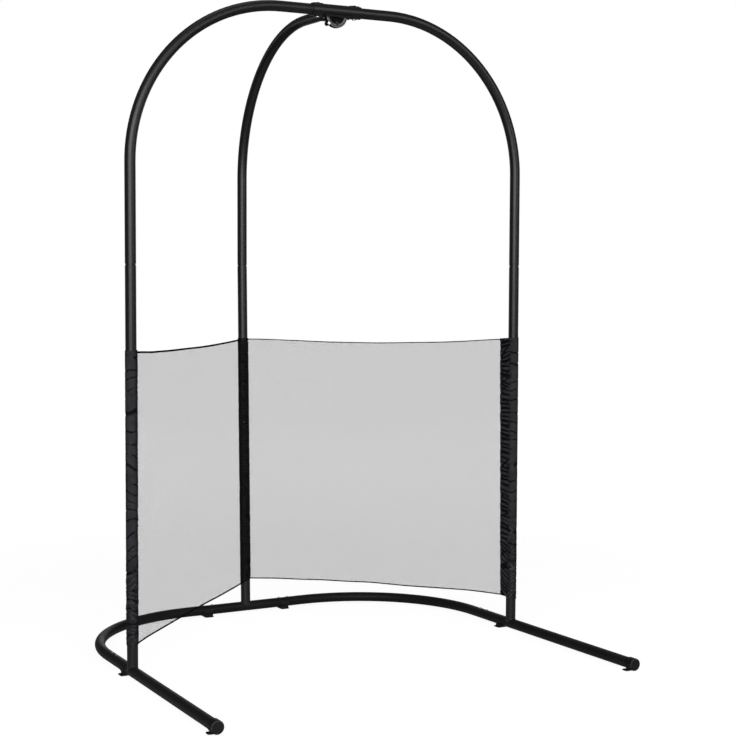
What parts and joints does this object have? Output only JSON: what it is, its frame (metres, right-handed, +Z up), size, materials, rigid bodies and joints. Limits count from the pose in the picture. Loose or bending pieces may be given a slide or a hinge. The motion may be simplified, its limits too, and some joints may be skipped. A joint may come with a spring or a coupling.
{
  "type": "three-legged arched lawn game frame with net screen",
  "caption": "Tall black tube frame: three arched legs meet at a top connector with a cord pulley, on a U-shaped base with ground plates and a low net screen behind.",
  "frame": {"origin": "on the ground, at the middle of the outline's width and depth", "axes": "+Z up; -Y to the open front, where the two side tubes and their caps point; +X to the right as seen from the front"},
  "size_m": [1.6282, 1.5696, 2.3422],
  "materials": {
    "black_powder_coat": "satin black powder coat with a fine orange peel",
    "galvanised_steel": "plain zinc-coated tube, hidden inside the joints",
    "black_moulding": "fine-grained black moulded plastic",
    "zinc_fastener": "bright zinc plate",
    "black_fastener": "black oxide, satin",
    "black_block": "semi-gloss black coat on pressed and cast pieces",
    "wheel_nylon": "black nylon, turned",
    "bush_bronze": "sintered bronze",
    "net_mesh": "fine open black mesh",
    "sleeve_cloth": "plain-woven black cloth, gathered in fine wrinkles",
    "hem_tape": "narrow black woven tape"
  },
  "bodies": {
    "frame": {"side_tube_left": "black_powder_coat", "side_tube_right": "black_powder_coat", "corner_tube_left": "black_powder_coat", "corner_tube_right": "black_powder_coat", "back_tee_tube": "black_powder_coat", "inner_sleeve_side_left": "galvanised_steel", "inner_sleeve_side_right": "galvanised_steel", "inner_sleeve_back_left": "galvanised_steel", "inner_sleeve_back_right": "galvanised_steel", "lower_leg_left": "black_powder_coat", "lower_leg_right": "black_powder_coat", "lower_leg_back": "black_powder_coat", "upper_leg_left": "black_powder_coat", "upper_leg_right": "black_powder_coat", "upper_leg_back": "black_powder_coat", "base_joint_screws": "zinc_fastener", "leg_screws": "zinc_fastener", "side_foot_left": "black_moulding", "side_foot_right": "black_moulding", "back_foot_left": "black_moulding", "back_foot_right": "black_moulding", "end_cap_left": "black_moulding", "end_cap_right": "black_moulding", "top_connector": "black_powder_coat", "connector_bolts": "black_fastener", "connector_nuts": "zinc_fastener", "top_saddle_washers": "black_fastener", "low_saddle_washers": "black_fastener", "hanger_saddle": "black_block", "pulley_cheek_front": "black_block", "pulley_cheek_back": "black_block", "axle_bolt": "black_fastener", "axle_nut": "black_fastener", "anchor_bolt": "zinc_fastener", "anchor_spacer": "zinc_fastener", "anchor_nut": "zinc_fastener", "net_panel_left": "net_mesh", "net_panel_right": "net_mesh", "hem_tapes_left": "hem_tape", "hem_tapes_right": "hem_tape", "leg_sleeve_left": "sleeve_cloth", "leg_sleeve_right": "sleeve_cloth", "leg_sleeve_back": "sleeve_cloth"},
    "wheel": {"pulley_wheel": "wheel_nylon", "wheel_bush": "bush_bronze"}
  },
  "joints": [
    {"name": "wheel_spin", "type": "hinge", "parent": "frame", "child": "wheel", "pos_m": [0, -0.03563, 2.2735], "axis": [0, 1, 0], "continuous": true}
  ]
}
